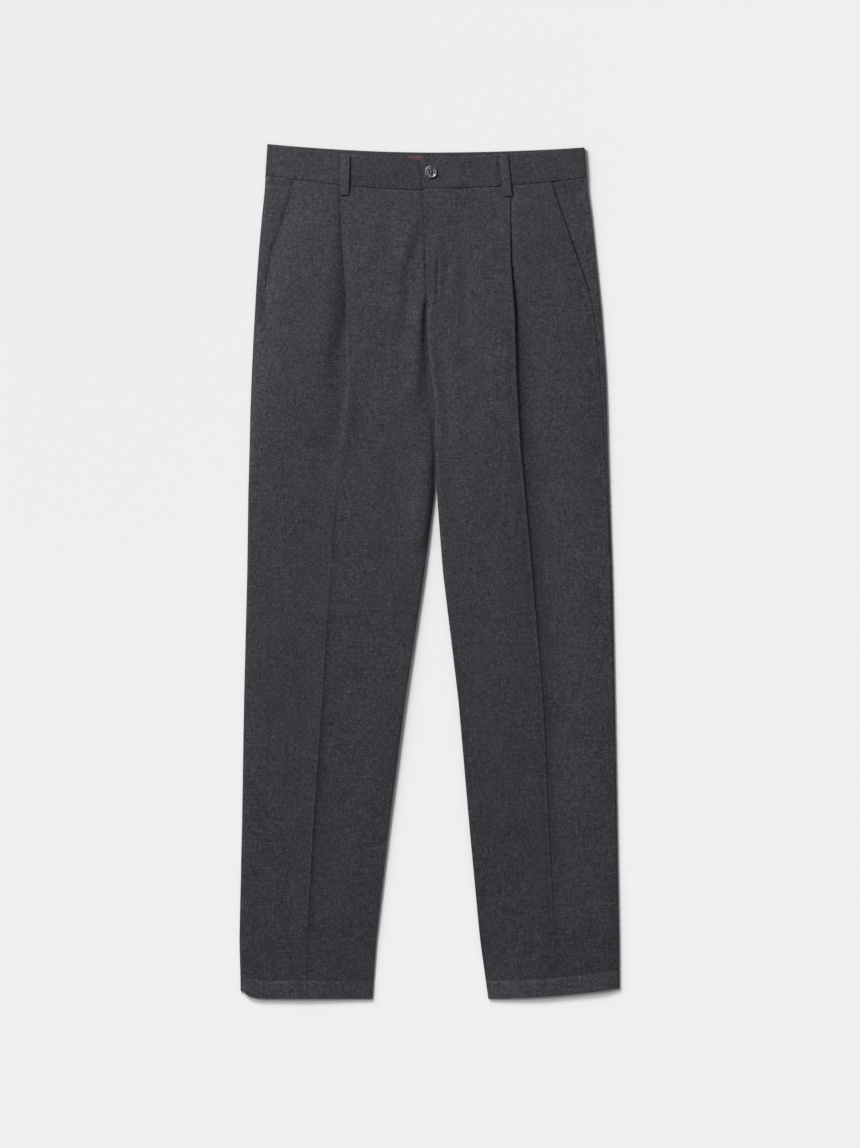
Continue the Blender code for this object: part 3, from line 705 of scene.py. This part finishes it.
class Nodes:
    """Short calls for a material's node tree."""

    def __init__(self, name):
        self.material = bpy.data.materials.new(name)
        self.material.use_nodes = True
        self.tree = self.material.node_tree
        self.shader = self.tree.nodes["Principled BSDF"]

    def feed(self, value, socket):
        """Links an output to a socket, or sets the socket's own constant."""
        if isinstance(value, bpy.types.NodeSocket):
            self.tree.links.new(value, socket)
        else:
            socket.default_value = value

    def add(self, kind, **settings):
        """A new node. A setting that begins with a capital is an input, with _ for a space."""
        node = self.tree.nodes.new(kind)
        for key, value in settings.items():
            if key[0].isupper():
                self.feed(value, node.inputs[key.replace("_", " ")])
            else:
                setattr(node, key, value)
        return node

    def maths(self, operation, *values, kind="ShaderNodeMath", output="Value", **settings):
        """The result of an operation on outputs or constants."""
        node = self.add(kind, operation=operation, **settings)
        for value, socket in zip(values, node.inputs):
            self.feed(value, socket)
        return node.outputs[output]

    def vector(self, operation, *values, output="Vector"):
        return self.maths(operation, *values, kind="ShaderNodeVectorMath", output=output)

    def place(self, scale=(1.0, 1.0, 1.0), turn=0.0):
        """Object coordinates in millimetres, turned in the plane and then scaled."""
        source = self.add("ShaderNodeTexCoord").outputs["Object"]
        scale = [factor / MM for factor in scale]
        return self.add("ShaderNodeMapping", Vector=source, Scale=scale, Rotation=(0, 0, turn)).outputs[0]

    def noise(self, vector, detail=2.0, roughness=0.5):
        node = self.add("ShaderNodeTexNoise", Vector=vector, Scale=1.0, Detail=detail, Roughness=roughness)
        return node.outputs["Fac"]

    def bands(self, vector, direction, distortion=0.0):
        node = self.add(
            "ShaderNodeTexWave", bands_direction=direction, Vector=vector, Scale=1.0, Distortion=distortion
        )
        return node.outputs["Fac"]

    def sum(self, *terms):
        """The sum of outputs, each with its weight."""
        total = 0.0
        for output, weight in terms:
            total = self.maths("MULTIPLY_ADD", output, weight, total)
        return total

    def ramp(self, value, *stops):
        """Colours between the stops (place, colour) that a value passes."""
        node = self.add("ShaderNodeValToRGB", Fac=value)
        stripes = node.color_ramp.elements
        while len(stripes) < len(stops):
            stripes.new(0.5)
        for stripe, (place, colour) in zip(stripes, stops):
            stripe.position = place
            stripe.color = (*colour, 1.0)
        return node.outputs["Color"]

    def bump(self, height, distance, strength=1.0, **below):
        node = self.add("ShaderNodeBump", Height=height, Strength=strength, Distance=distance * MM, **below)
        return node.outputs["Normal"]

    def finish(self, colour, normal, **constants):
        """The material with its colour, its relief and the shader's own constants."""
        self.feed(colour, self.shader.inputs["Base Color"])
        self.feed(normal, self.shader.inputs["Normal"])
        for name, value in constants.items():
            self.shader.inputs[name.replace("_", " ")].default_value = value
        return self.material


def make_flannel(name, turn=0.0, shade=1.0):
    """Brushed charcoal melange: a fine twill under a soft nap, of dark, grey and a few pale fibres."""
    make = Nodes(name)

    def noise(size, turned=0.0, detail=1.0, roughness=0.5):
        return make.noise(make.place([1 / length for length in size], turn + turned), detail, roughness)

    warp = noise((0.85, 5.5, 3.0))
    weft = noise((5.5, 0.85, 3.0))
    flecks = noise((1.05, 1.2, 1.1), roughness=0.6)
    warp_slubs = noise((2.4, 24.0, 4.0))
    weft_slubs = noise((24.0, 2.4, 4.0))
    fibres = noise((0.35, 0.9, 0.6), turned=0.5)
    clouds = noise((26.0, 34.0, 30.0), detail=2.0)
    tones = noise((45.0, 60.0, 50.0))
    threads = make.sum((warp, 1.25), (weft, 1.25), (warp_slubs, 0.36), (weft_slubs, 0.30))
    melange = make.sum((threads, 1.0), (flecks, 1.15), (fibres, 0.25), (clouds, 0.22))
    value = make.add("ShaderNodeMapRange", Value=melange, From_Min=1.82, From_Max=2.98)
    dark_to_pale = ((0.0, 0.30), (0.35, 0.76), (0.62, 1.16), (1.0, 2.10))
    stops = [(place, np.array(CHARCOAL) * shade * tone) for place, tone in dark_to_pale]
    cloth = make.ramp(value.outputs["Result"], *stops)
    hue = make.ramp(tones, (0.42, (0.992, 0.995, 1.01)), (0.58, (1.008, 1.005, 0.99)))
    # The paler attribute: painted light, and at the hem partly the flattened nap.
    paler = make.add("ShaderNodeAttribute", attribute_name="paler").outputs["Fac"]
    shown = make.maths("ADD", paler, 1.0)
    colour = make.vector("MULTIPLY", make.vector("MULTIPLY", cloth, hue), shown)

    twill = make.bands(make.place((1 / 4.2, 1 / 4.2, 1 / 4.2), turn + math.radians(27)), "X", 1.2)
    nap = make.sum((flecks, 0.6), (fibres, 0.5), (warp, 0.6), (weft, 0.6))
    relief = make.bump(nap, 0.45, 0.6, Normal=make.bump(twill, 0.12, 0.5))
    return make.finish(
        colour, relief, Roughness=0.95, Specular_IOR_Level=0.15,
        Sheen_Weight=0.08, Sheen_Roughness=0.55, Sheen_Tint=(0.8, 0.82, 0.9, 1.0),
    )


def make_thread(name, colour):
    make = Nodes(name)
    ply = make.noise(make.place((2.2, 2.2, 2.2)))
    tone = np.array(colour)
    colours = make.ramp(ply, (0.3, tone * 0.6), (0.7, tone * 1.3))
    return make.finish(colours, make.bump(ply, 0.12), Roughness=0.8)


def make_horn():
    """Grey horn with pale streaks, darker towards +X: a painted highlight makes its -X side paler."""
    make = Nodes("grey horn")
    low, high = box("waist_button")
    streaks = make.noise(make.place((1 / 1.6, 1 / 6.0, 1 / 3.0), 0.15), 3.0, 0.55)
    grain = make.noise(make.place((3.0, 1.2, 2.0), 0.6))
    # Painted highlight: the colour grows paler towards -X, where the lamps' reflection would lie.
    across = make.add("ShaderNodeSeparateXYZ", Vector=make.place()).outputs["X"]
    share = make.add(
        "ShaderNodeMapRange", Value=across, From_Min=low[0], From_Max=high[0], To_Min=0.14, To_Max=-0.16
    )
    colour = make.ramp(
        make.sum((streaks, 0.85), (grain, 0.15), (share.outputs["Result"], 0.6)),
        (0.36, (0.010, 0.010, 0.012)),
        (0.47, (0.035, 0.035, 0.040)),
        (0.56, (0.085, 0.085, 0.095)),
        (0.70, (0.17, 0.17, 0.185)),
    )
    relief = make.bump(grain, 0.03)
    return make.finish(colour, relief, Roughness=0.28, Coat_Weight=0.3, Coat_Roughness=0.15)


def make_red():
    """Plain woven label in dark red."""
    make = Nodes("dark red label weave")
    ribs = make.bands(make.place((1.0, 1 / 2.4, 1.0)), "Y")
    both = make.sum((ribs, 0.5), (make.noise(make.place((2.5, 2.5, 2.5))), 0.5))
    colour = make.ramp(both, (0.2, (0.040, 0.0065, 0.009)), (0.8, (0.10, 0.017, 0.022)))
    return make.finish(colour, make.bump(both, 0.15), Roughness=0.75)


# ---------------------------------------------------------------- pieces of cloth


def make_panels(half, forms, flannel):
    """The front and the back of one half, which meet at the side seam with a fuller edge."""
    blunt = 0.85 if half.right else 0.4
    pieces = []
    for name, (lines, paler), sides in (
        ("front", front_lines(half, forms), (EDGE_LEFT, blunt)),
        ("back", back_lines(half), (blunt, EDGE_LEFT)),
    ):
        piece = shell(f"{name}_cloth_{half.side}", lines, half.sign, flannel, sides=sides, paler=paler)
        pieces.append(keep(piece, "flannel", f"{name}_{half.side}"))
    return pieces


def make_facing(half, flannel):
    """The pocket facing, which shows between the pocket mouth and the side seam."""
    foot, top = half.facing_foot, 486.0
    lines = []
    for share in spread(1.0, SMALL_STEPS, SMALL_STEPS, 40):
        y = foot + share * (top - foot)
        inner, outer = float(half.facing_inner(y)), float(half.facing_outer(y))
        u = inner + spread(outer - inner, EDGE_STEPS[:5], EDGE_STEPS[:7], 18)
        lines.append(row(u, foot, half.front_head(u), share, 2.3 + half.lift(y)))
    lines = np.array(lines)
    u, y, z = lines[:, :, 0], lines[:, :, 1], lines[:, :, 2]
    beside = 1 - near(np.maximum(0.0, u - half.mouth(y)), 3.0 if half.right else 6.0)
    below_head = half.front_head(u) - y
    z += (1.2 if half.right else 0.9) * beside - 0.5
    z += 0.5 * near(u[:, -1:] - u, 6.0)
    z += (1.1 + 0.6 * beside) * near(below_head, 7.0)
    z -= 0.7 * near(below_head, 1.3)
    lines[:, :, 2] = np.maximum(z, 1.75)
    # Painted highlight at the hip, near the facing's outer edge, on the right half only.
    paler = hip_painted_highlight(y) * near(u[:, -1:] - u, 9.0, 4.0) * (1.0 if half.right else 0.0)
    name = f"pocket_facing_cloth_{half.side}"
    piece = shell(name, lines, half.sign, flannel, sides=(EDGE_LEFT, 0.85), paler=paler)
    return keep(piece, "flannel", f"pocket_facing_{half.side}")


def make_fly_shield(half, flannel):
    """The shield behind the fly, sewn to the right half and lying under both fronts."""
    low, high = box("fly_shield")
    lines = []
    for share in spread(1.0, SMALL_STEPS, SMALL_STEPS, 30):
        y = low[1] + share * (high[1] - low[1])
        corner = 14.0 * max(0.0, 1 - (y - low[1]) / 26.0) ** 2
        u = np.linspace(corner - high[0], -low[0], 30)
        lines.append(row(u, y, y, share, 1.8 + half.lift(y)))
    return keep(shell("fly_shield_cloth", lines, half.sign, flannel, 0.8), "flannel", "fly_shield")


def make_waistband(half, flannel):
    """Half the waistband: a doubled band that runs round the side and along the back."""
    low, high = box(f"waistband_{half.side}")
    back_z = low[2] + BAND / 2
    front_z = back_z + 3.0
    over_z = high[2] - BAND / 2  # where the left half lies over the right one
    lines, tones = [], []
    for share in spread(BAND_HEIGHT, BAND_STEPS, BAND_STEPS[:6], 14) / BAND_HEIGHT:
        turn_u = float(half.band_outer(BAND_SIDE + BAND_READ * share)) - 1.6
        end = float(half.band_end(500.0 if half.right else BAND_FOOT + BAND_HEIGHT * share))
        u = end + spread(turn_u - end, EDGE_STEPS, EDGE_STEPS[:6], 70)
        seam, top = half.band_front_seam(u), half.band_front_top(u)
        if half.right:
            raised = 0.0
            top = top - 3.6 * near(u - 7.0, 11.0)
        else:
            raised = 1 - smooth((u - 32.0) / 34.0)
        z = front_z + raised * (over_z - front_z) - 0.15
        z = z + 0.35 * math.sin(math.pi * share) ** 0.6 + 0.25 * near(share * BAND_HEIGHT - 5.0, 3.5)
        if half.right:
            past = u + float(half.overlap(BAND_FOOT + BAND_READ * share))  # from the left half's end
            z = z + 0.7 * near(past - 4.5, 3.5) - 1.1 * near(np.maximum(0.0, past - 0.3), 1.8)
            z = z - 0.85 * near(turn_u - u, 16.0)
        beside = half.loop_edge(seam + share * (top - seam)) - u
        z = z + half.loop_dip * (1.3 * near(beside - 6.5, 4.5) - near(beside, 2.0))
        front = row(u, seam, top, share, z)
        side = square_turn((turn_u, z[-1]), z[-1] - back_z, FOLD_BEND)
        side = [(turned_u, front[-1, 1], turned_z) for turned_u, turned_z in side]
        u = side[-1][0] - spread(side[-1][0] - 0.2, FOLD_STEPS, EDGE_STEPS[:6], 40)[1:]
        back = row(u, half.band_back_seam(u), half.band_back_top(u), share, back_z)
        lines.append(np.vstack((front, side, back)))
        # The band is painted a little paler all over. On the right half its front is painted light instead:
        # darker near the fly and paler towards the side, where it turns to the light.
        tone = np.full(len(lines[-1]), 0.03)
        if half.right:
            tone[: len(front)] = 0.20 * smooth((front[:, 0] - 60.0) / 110.0) - 0.08
        tones.append(tone)
    piece = shell(f"waistband_cloth_{half.side}", lines, half.sign, flannel, 1.9, paler=tones)
    return keep(piece, "flannel", f"waistband_{half.side}")


def make_loop(node, flannel):
    """A belt loop: a narrow flat tube, which stands off the band and is sewn down at both ends."""
    low, high = box(node)
    foot, top = low[1], high[1]
    right, front = node.endswith("right"), "front" in node
    bottom_x = cut(node, 1, foot + 1.0)[:, 0]
    top_x = cut(node, 1, top - 1.0)[:, 0]
    if front:
        foot -= 1.2 if right else 2.2
    lines = []
    for share in spread(1.0, LOOP_STEPS / (top - foot), LOOP_STEPS / (top - foot), 20):
        x0 = bottom_x.min() + share * (top_x.min() - bottom_x.min())
        x1 = bottom_x.max() + share * (top_x.max() - bottom_x.max())
        x = x0 + spread(x1 - x0, LOOP_SIDE_STEPS, LOOP_SIDE_STEPS, 8)
        z = np.full_like(x, (low[2] + high[2]) / 2)
        if front:
            z += (2.2 if right else 1.5) * math.sin(math.pi * min(1.0, max(0.0, share))) ** 0.6
            z -= 0.25 * np.abs(2 * (x - x0) / (x1 - x0) - 1) ** 4
            z -= 0.18 * (near(x - x0 - 1.6, 0.35) + near(x1 - 1.6 - x, 0.35))
        lines.append(row(x, foot, top, share, z))
    return keep(shell(f"{node}_cloth", lines, 1, flannel, 1.1 if front else 0.9), "flannel", node)


def make_label(red):
    """The label, narrower than its solid, with a slightly wavy top edge."""
    low, high = box("label")
    lines = []
    for rise in spread(high[1] - low[1], EDGE_STEPS[:3], EDGE_STEPS[:3], 16):
        x = np.linspace(low[0] + 4.2, high[0] - 2.0, 40)
        wavy = (0.2 * np.sin(3.1 * x) - 0.7) * (1 if rise > 10 else 0)
        y = low[1] + rise + wavy
        lines.append(row(x, y, y, 0.0, (low[2] + high[2]) / 2))
    return keep(shell("label_cloth", lines, 1, red, 0.35), "label", "label")


# ---------------------------------------------------------------- stitches and button

RING = 6  # points round a stitch or a strand
# The form of a stitch: how far along it, its share of the full radius there, and how many radii it rises.
STITCH = ((0.0, 0.3, -0.3), (0.2, 0.9, 0.1), (0.5, 1.0, 0.2), (0.8, 0.9, 0.1), (1.0, 0.3, -0.3))

# The lines that stitches follow, in x and y: the curve of the fly, its bar tack and the left pocket's.
FLY_CURVE = [(10.6, 384), (9.6, 352), (8.2, 337), (5.5, 333.6), (0.0, 332.4), (-5.5, 332.0)]
FLY_TACK = [(9.0, 336.5), (16.4, 338.8)]
POCKET_TACK = [[(196.8, 341.5 - 0.45 * i), (202.6, 341.5 - 0.45 * i)] for i in range(3)]


def surface_of(pieces):
    """The shown surfaces of some pieces, to lay other things on."""
    points, faces = [], []
    for piece in pieces:
        start = len(points)
        points += [vertex.co.copy() for vertex in piece.data.vertices]
        faces += [[start + i for i in polygon.vertices] for polygon in piece.data.polygons]
    return BVHTree.FromPolygons(points, faces)


def top_of(surface, x, y):
    """The height of the highest cloth at (x, y)."""
    hit = surface.ray_cast(Vector((x * MM, y * MM, 0.1)), Vector((0, 0, -1)))[0]
    return hit.z / MM if hit else 0.0


def ring_points(x, y, z, cross, radius):
    """Points on an upright circle that is as wide in the way cross as it is high."""
    points = []
    for i in range(RING):
        angle = 2 * math.pi * i / RING
        side = radius * math.cos(angle)
        points.append((x + side * cross[0], y + side * cross[1], z + radius * math.sin(angle)))
    return points


def stitches(name, runs, surface, material, length=2.6, gap=0.5, radius=0.3, sink=0.1):
    """Rows of short stitches that lie along lines on the cloth."""
    points, faces = [], []
    for run in runs:
        run = np.array(run, float)
        steps = np.linalg.norm(np.diff(run, axis=0), axis=1)
        distance = np.concatenate(([0.0], np.cumsum(steps)))
        for i in range(int(distance[-1] / (length + gap))):
            ends = i * (length + gap) + np.array((0.0, length))
            x = np.interp(ends, distance, run[:, 0])
            y = np.interp(ends, distance, run[:, 1])
            cross = (-(y[1] - y[0]) / length, (x[1] - x[0]) / length)
            faces += tube_faces(len(points), len(STITCH), RING)
            for along, size, rise in STITCH:
                px, py = x[0] + along * (x[1] - x[0]), y[0] + along * (y[1] - y[0])
                z = top_of(surface, px, py) - sink + rise * radius
                points += ring_points(px, py, z, cross, radius * size)
    return keep(add_mesh(name, points, faces, material, 80.0), "flannel")


def turned(profile, sides, centre):
    """Points and faces of a turned solid, from the radii and heights of its profile."""
    points = []
    for radius, z in profile:
        for i in range(sides):
            angle = 2 * math.pi * i / sides
            points.append((centre[0] + radius * math.cos(angle), centre[1] + radius * math.sin(angle), z))
    return points, tube_faces(0, len(profile), sides)


def make_button(horn):
    """A turned horn button with a raised rim and four holes."""
    low, high = box("waist_button")
    centre = ((low[0] + high[0]) / 2, (low[1] + high[1]) / 2)
    radius = (high[0] - low[0]) / 2
    base, top = low[2], high[2]
    rim = [(1.6, base), (0.7, base + 0.25), (0.15, base + 0.8), (0.0, base + 1.3), (0.15, base + 1.8)]
    rim += [(0.55, base + 2.25), (1.05, top), (1.5, top - 0.08), (1.95, top - 0.45), (2.4, top - 0.68)]
    rim.append((3.2, top - 0.74))
    profile = [(radius - inset, z) for inset, z in rim] + [(2.6, top - 0.72), (0.4, top - 0.7)]
    button = add_mesh("horn_button", *turned(profile, 96, centre), horn, 50.0)
    hole_profile = ((0.95, base - 1), (0.95, top - 1.0), (1.25, top - 0.55))
    holes = []
    for i in range(4):
        angle = math.pi / 4 + math.pi / 2 * i
        place = (centre[0] + 2.4 * math.cos(angle), centre[1] + 2.4 * math.sin(angle))
        hole = add_mesh(f"hole_{i}", *turned(hole_profile, 24, place), horn, 50.0)
        cutter = button.modifiers.new("hole", "BOOLEAN")
        cutter.operation = "DIFFERENCE"
        cutter.solver = "EXACT"
        cutter.object = hole
        holes.append(hole)
    bpy.context.view_layer.update()
    seen = button.evaluated_get(bpy.context.evaluated_depsgraph_get())
    shape = bpy.data.meshes.new_from_object(seen)
    button.modifiers.clear()
    button.data = shape
    for hole in holes:
        bpy.data.objects.remove(hole)
    keep(button, "button", "waist_button")
    return centre, top


def make_button_thread(centre, top, material):
    """The thread through the holes: two upright bars of four strands."""
    points, faces = [], []
    steps = 9
    for side in (-1.7, 1.7):
        for strand in (-0.42, -0.14, 0.14, 0.42):
            faces += tube_faces(len(points), steps, RING)
            for step in range(steps):
                share = step / (steps - 1)
                x = centre[0] + side + strand + 0.06 * math.sin(3 * share + 9 * strand)
                y = centre[1] - 1.9 + 3.8 * share
                z = top - 1.7 + 1.35 * math.sin(math.pi * share) ** 0.5
                points += ring_points(x, y, z, (1.0, 0.0), 0.19)
    keep(add_mesh("button_thread", points, faces, material, 80.0), "button")


# ---------------------------------------------------------------- studio

# Places and sizes here are in metres.
# A large light near the waist on the upper left, a wide even one from the same side, and a pale sky.
NEAR_LIGHT = (-0.9, 1.5, 1.2)
NEAR_POWER = 45.0
SUN_PLACE = (-0.62, 0.58, 0.53)
SUN = 2.97
SKY = 0.28
FLOOR_TONE = 0.868  # how bright the floor looks
FLOOR_REACH = 6.0
CAMERA_HEIGHT = 12.0
CAMERA_SHIFT = (0.0007, -0.0033)  # from above the middle of the trousers
VIEW_HEIGHT = 1.435  # of the floor that the picture takes in
SENSOR = 36.0  # width in millimetres, as for the lens


def make_floor(light, power, even_light):
    """A pale floor, darker where the near light is stronger, so that it looks even all over."""
    make = Nodes("pale floor")
    place = make.add("ShaderNodeTexCoord").outputs["Object"]
    away = make.vector("SUBTRACT", place, light)
    length = make.vector("LENGTH", away, output="Value")
    facing = make.vector("DOT_PRODUCT", away, -Vector(light).normalized(), output="Value")
    share = make.maths("DIVIDE", facing, make.maths("POWER", length, 4.0))
    total = make.maths("MULTIPLY_ADD", share, power / math.pi**2 * light[2], even_light)
    tone = make.maths("DIVIDE", FLOOR_TONE, total, use_clamp=True)
    make.feed(tone, make.shader.inputs["Base Color"])
    make.shader.inputs["Roughness"].default_value = 1.0
    make.shader.inputs["Specular IOR Level"].default_value = 0.0
    mesh = bpy.data.meshes.new("floor")
    corners = [(FLOOR_REACH * x, FLOOR_REACH * y, 0) for x, y in ((-1, -1), (1, -1), (1, 1), (-1, 1))]
    mesh.from_pydata(corners, [], [(0, 1, 2, 3)])
    mesh.materials.append(make.material)
    add_object("floor", mesh)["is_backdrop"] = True


def add_light(name, kind, place, power, **settings):
    """A light that shines from a place towards the middle of the trousers."""
    data = bpy.data.lights.new(name, kind)
    data.energy = power
    for key, value in settings.items():
        setattr(data, key, value)
    light = add_object(name, data)
    light.location = place
    light.rotation_euler = (-Vector(place)).to_track_quat("-Z", "Y").to_euler()


def make_studio():
    scene = bpy.context.scene
    scene.view_settings.view_transform = "Standard"
    world = bpy.data.worlds.new("studio")
    world.use_nodes = True
    sky = world.node_tree.nodes["Background"]
    sky.inputs["Color"].default_value = (1.0, 1.0, 1.0, 1.0)
    sky.inputs["Strength"].default_value = SKY
    scene.world = world
    add_light("near light", "AREA", NEAR_LIGHT, NEAR_POWER, shape="SQUARE", size=0.5)
    add_light("wide light", "SUN", SUN_PLACE, SUN, angle=math.radians(50))
    steepness = Vector(SUN_PLACE).normalized().z
    make_floor(NEAR_LIGHT, NEAR_POWER, SKY + SUN * steepness / math.pi)

    low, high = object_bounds()
    data = bpy.data.cameras.new("camera")
    data.sensor_width = SENSOR
    data.lens = SENSOR * CAMERA_HEIGHT / VIEW_HEIGHT
    scene.camera = add_object("camera", data)
    x, y = ((low[i] + high[i]) / 2 + CAMERA_SHIFT[i] for i in range(2))
    scene.camera.location = (x, y, CAMERA_HEIGHT)


# ---------------------------------------------------------------- assembly


def main():
    flannel = make_flannel("charcoal flannel")
    band_flannel = make_flannel("charcoal flannel, band", math.pi / 2, 0.92)
    loop_flannel = make_flannel("charcoal flannel, loops", math.pi / 2, 1.1)
    thread = make_thread("charcoal thread", (0.012, 0.012, 0.014))
    halves = {side: read_half(side) for side in ("right", "left")}
    forms = {"right": RIGHT_FRONT, "left": LEFT_FRONT}
    cloth = []
    for side, half in halves.items():
        front, back = make_panels(half, forms[side], flannel)
        facing = make_facing(half, flannel)
        band = make_waistband(half, band_flannel)
        cloth += [front, back, facing, band]
    shield = make_fly_shield(halves["right"], flannel)
    for node in sorted(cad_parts):
        if node.startswith("belt_loop"):
            loop = make_loop(node, loop_flannel)
    label = make_label(make_red())
    surface = surface_of(cloth)
    stitches("fly_stitches", [FLY_CURVE, FLY_TACK], surface, thread)
    stitches("pocket_tacks", POCKET_TACK, surface, thread, 5.4, 0.2, 0.22)
    centre, top = make_button(make_horn())
    make_button_thread(centre, top, thread)


main()
make_studio()
